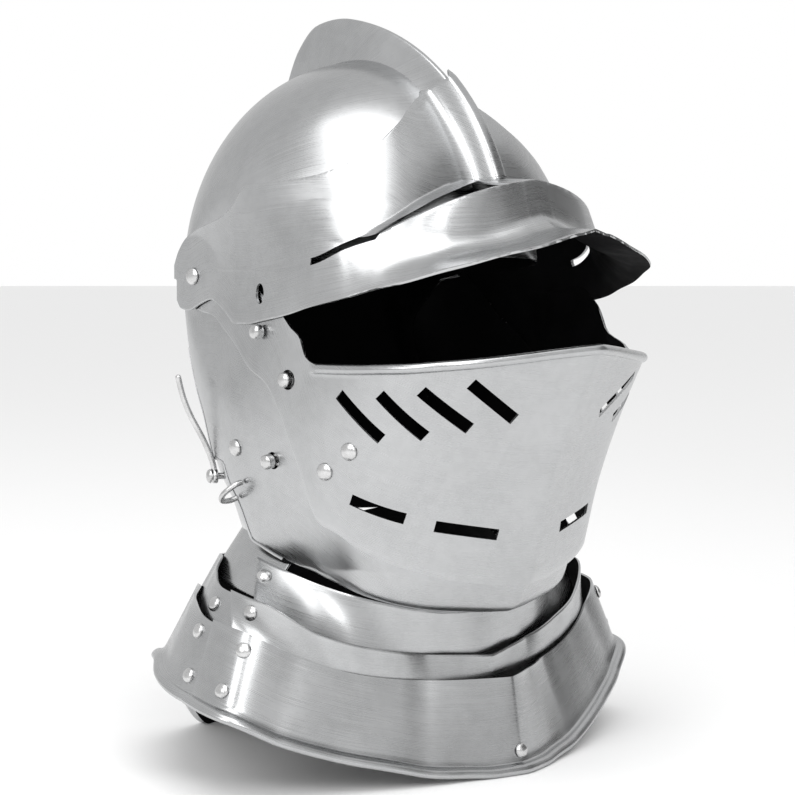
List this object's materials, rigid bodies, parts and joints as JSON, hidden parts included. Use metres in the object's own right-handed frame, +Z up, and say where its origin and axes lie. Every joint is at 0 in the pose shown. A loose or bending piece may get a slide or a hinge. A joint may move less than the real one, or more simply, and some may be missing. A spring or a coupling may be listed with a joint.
{
  "type": "close helmet",
  "caption": "Steel close helmet with a combed skull, peaked visor with sights, ventail with breaths, bevor and a flared laminated gorget.",
  "frame": {"origin": "middle of the helmet's outline in plan, at the height of the gorget's lower rim", "axes": "+Z up; the face looks along -Y; +X is the wearer's left; the pivots of the face plates lie on a line along X"},
  "size_m": [0.3154, 0.275, 0.4058],
  "materials": {
    "plate_steel": "satin",
    "rivet_steel": "satin"
  },
  "bodies": {
    "skull": {"skull": "plate_steel", "gorget_rear_1": "plate_steel", "gorget_rear_2": "plate_steel", "gorget_rear_3": "plate_steel", "rivet_rear_2_right": "rivet_steel", "rivet_rear_2_left": "rivet_steel", "rivet_rear_3_right": "rivet_steel", "rivet_rear_3_left": "rivet_steel", "rivet_rear_4_right": "rivet_steel", "rivet_rear_4_left": "rivet_steel", "pivot_right": "rivet_steel", "pivot_left": "rivet_steel", "hook_pin": "rivet_steel"},
    "hook": {"hook": "rivet_steel"},
    "bevor": {"bevor": "plate_steel", "gorget_front_1": "plate_steel", "gorget_front_2": "plate_steel", "gorget_front_3": "plate_steel", "rivet_front_1_right": "rivet_steel", "rivet_front_1_left": "rivet_steel", "rivet_front_2_right": "rivet_steel", "rivet_front_2_left": "rivet_steel", "rivet_front_3_right": "rivet_steel", "rivet_front_3_left": "rivet_steel", "rivet_front_4_right": "rivet_steel", "rivet_front_4_left": "rivet_steel", "rivet_front_middle": "rivet_steel", "catch_ventail": "rivet_steel", "catch_bevor": "rivet_steel", "rivet_bevor": "rivet_steel", "staple": "rivet_steel"},
    "ventail": {"ventail": "plate_steel", "catch_visor": "rivet_steel", "rivet_ventail": "rivet_steel", "rivet_ventail_low": "rivet_steel"},
    "visor": {"visor": "plate_steel"}
  },
  "joints": [
    {"name": "bevor_pivot", "type": "hinge", "parent": "skull", "child": "bevor", "pos_m": [0, 0.0725, 0.2616], "axis": [-1, 0, 0], "range_deg": [0, 28]},
    {"name": "ventail_pivot", "type": "hinge", "parent": "bevor", "child": "ventail", "pos_m": [0, 0.0725, 0.2616], "axis": [-1, 0, 0], "range_deg": [0, 35], "deforming": ["catch_ventail"]},
    {"name": "visor_pivot", "type": "hinge", "parent": "ventail", "child": "visor", "pos_m": [0, 0.0725, 0.2616], "axis": [-1, 0, 0], "range_deg": [-6, 30], "deforming": ["catch_visor"]},
    {"name": "hook_pivot", "type": "hinge", "parent": "skull", "child": "hook", "pos_m": [-0.08349, 0.06697, 0.1526], "axis": [-0.8687, 0.4954, 0], "range_deg": [-25, 60]}
  ]
}
